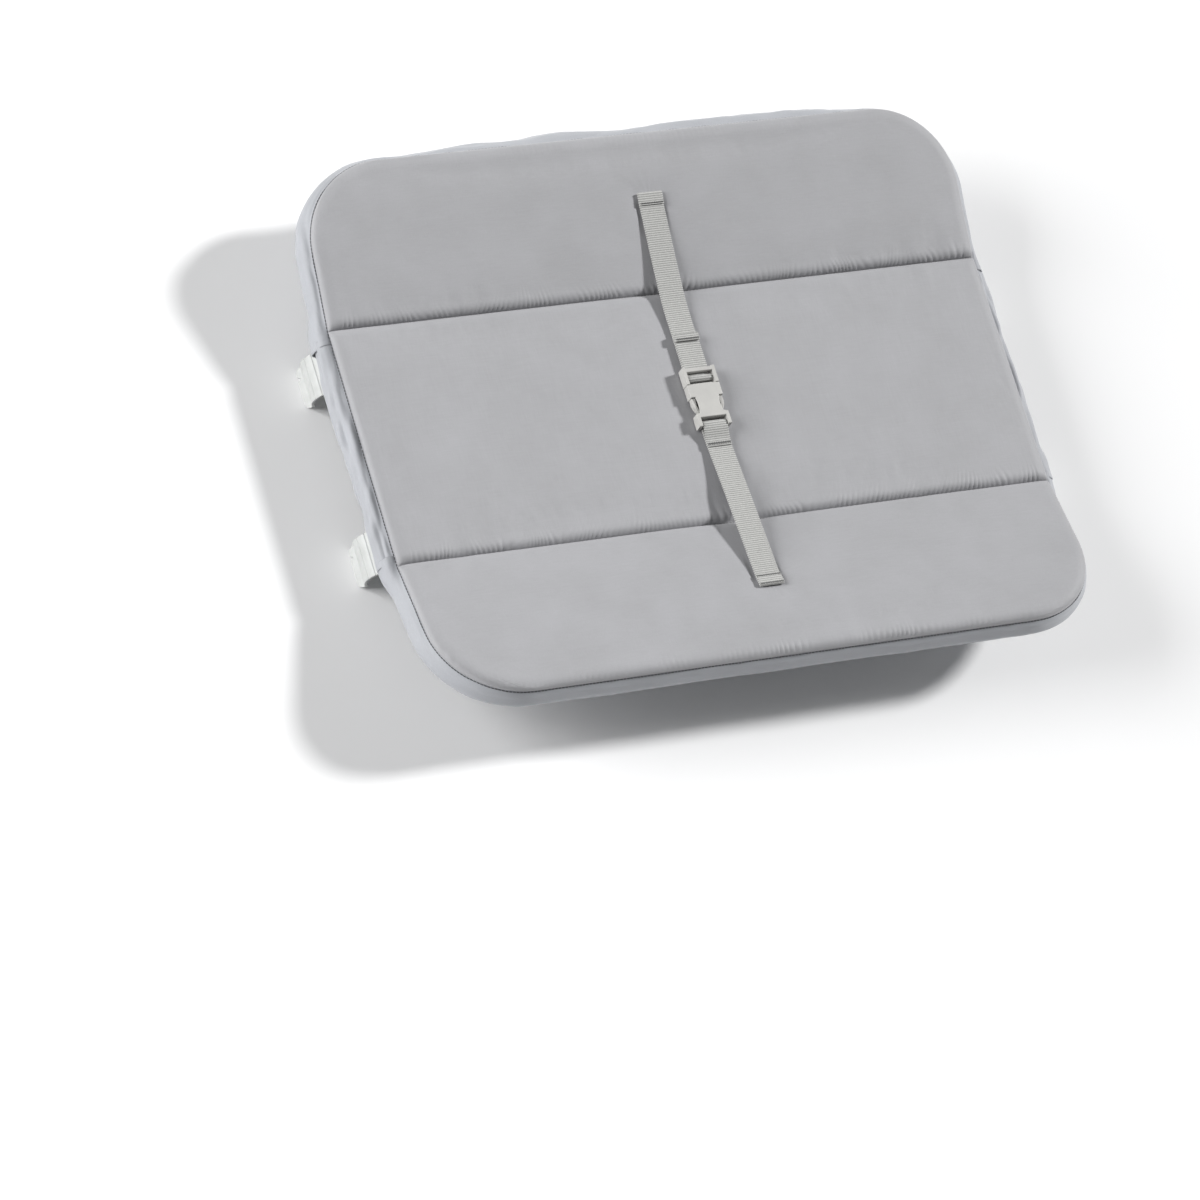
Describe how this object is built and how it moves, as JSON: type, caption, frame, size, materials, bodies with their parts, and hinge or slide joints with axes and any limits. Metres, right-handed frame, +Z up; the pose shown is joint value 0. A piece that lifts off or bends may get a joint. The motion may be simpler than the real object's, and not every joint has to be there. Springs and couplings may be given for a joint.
{
  "type": "changing pad",
  "caption": "Clip-on changing pad for a travel cot: quilted three-panel trough on a bent tube frame, with four spring rail clips and a side-release safety strap.",
  "frame": {"origin": "on the plane that the clips' lips stand on, under the middle of the pad", "axes": "+X along the pad, +Y across it towards the panel with the longer strap, +Z up out of the lying surface"},
  "size_m": [0.704, 0.554, 0.1013],
  "materials": {
    "frame_steel": "satin powder coat",
    "bare_steel": "zinc plated",
    "rivet_metal": "zinc plated",
    "wadding": "soft white polyester wadding",
    "pad_cloth": "light grey satin-woven polyester, quilted",
    "under_cloth": "light grey plain-woven polyester",
    "edge_cloth": "pale blue-grey plain-woven polyester",
    "webbing": "light warm grey ribbed webbing",
    "thread": "grey sewing thread",
    "buckle_plastic": "warm pale grey moulding, fine satin",
    "clip_plastic": "warm white moulding, satin"
  },
  "bodies": {
    "pad": {"frame_tube_back": "frame_steel", "frame_tube_front": "frame_steel", "frame_spigot_left": "bare_steel", "frame_spigot_right": "bare_steel", "frame_rivets": "rivet_metal", "clip_screws": "rivet_metal", "foam_back": "wadding", "foam_centre": "wadding", "foam_front": "wadding", "cover_quilted": "pad_cloth", "base_cloth": "under_cloth", "edge_sleeve_back": "edge_cloth", "edge_sleeve_front": "edge_cloth", "edge_skirt_left": "edge_cloth", "edge_skirt_right": "edge_cloth", "strap_back": "webbing", "strap_front": "webbing", "anchor_stitching": "thread", "strap_bar_tack": "thread", "buckle_socket": "buckle_plastic", "clip_left_back": "clip_plastic", "clip_left_front": "clip_plastic", "clip_right_back": "clip_plastic", "clip_right_front": "clip_plastic"},
    "buckle_plug": {"buckle_plug": "buckle_plastic", "strap_turn": "webbing"},
    "prong_left": {"buckle_prong_left": "buckle_plastic"},
    "prong_right": {"buckle_prong_right": "buckle_plastic"},
    "strap_end": {"strap_tail": "webbing", "strap_hem": "webbing", "hem_stitching": "thread"}
  },
  "joints": [
    {"name": "buckle_release", "type": "slide", "parent": "pad", "child": "buckle_plug", "axis": [0, 1, 0], "range_m": [0, 0.03], "deforming": ["strap_back", "buckle_prong_left", "buckle_prong_right"]},
    {"name": "prong_left_squeeze", "type": "hinge", "parent": "buckle_plug", "child": "prong_left", "pos_m": [-0.0046, 0.0115, 0.0721], "axis": [0, 0, 1], "range_deg": [0, 10], "stiffness_Nm_per_rad": 0.6},
    {"name": "prong_right_squeeze", "type": "hinge", "parent": "buckle_plug", "child": "prong_right", "pos_m": [0.0206, 0.0115, 0.0721], "axis": [0, 0, -1], "range_deg": [0, 10], "stiffness_Nm_per_rad": 0.6},
    {"name": "strap_adjust", "type": "slide", "parent": "buckle_plug", "child": "strap_end", "axis": [0, 1, 0], "range_m": [-0.026, 0.006], "deforming": ["strap_tail"]}
  ]
}
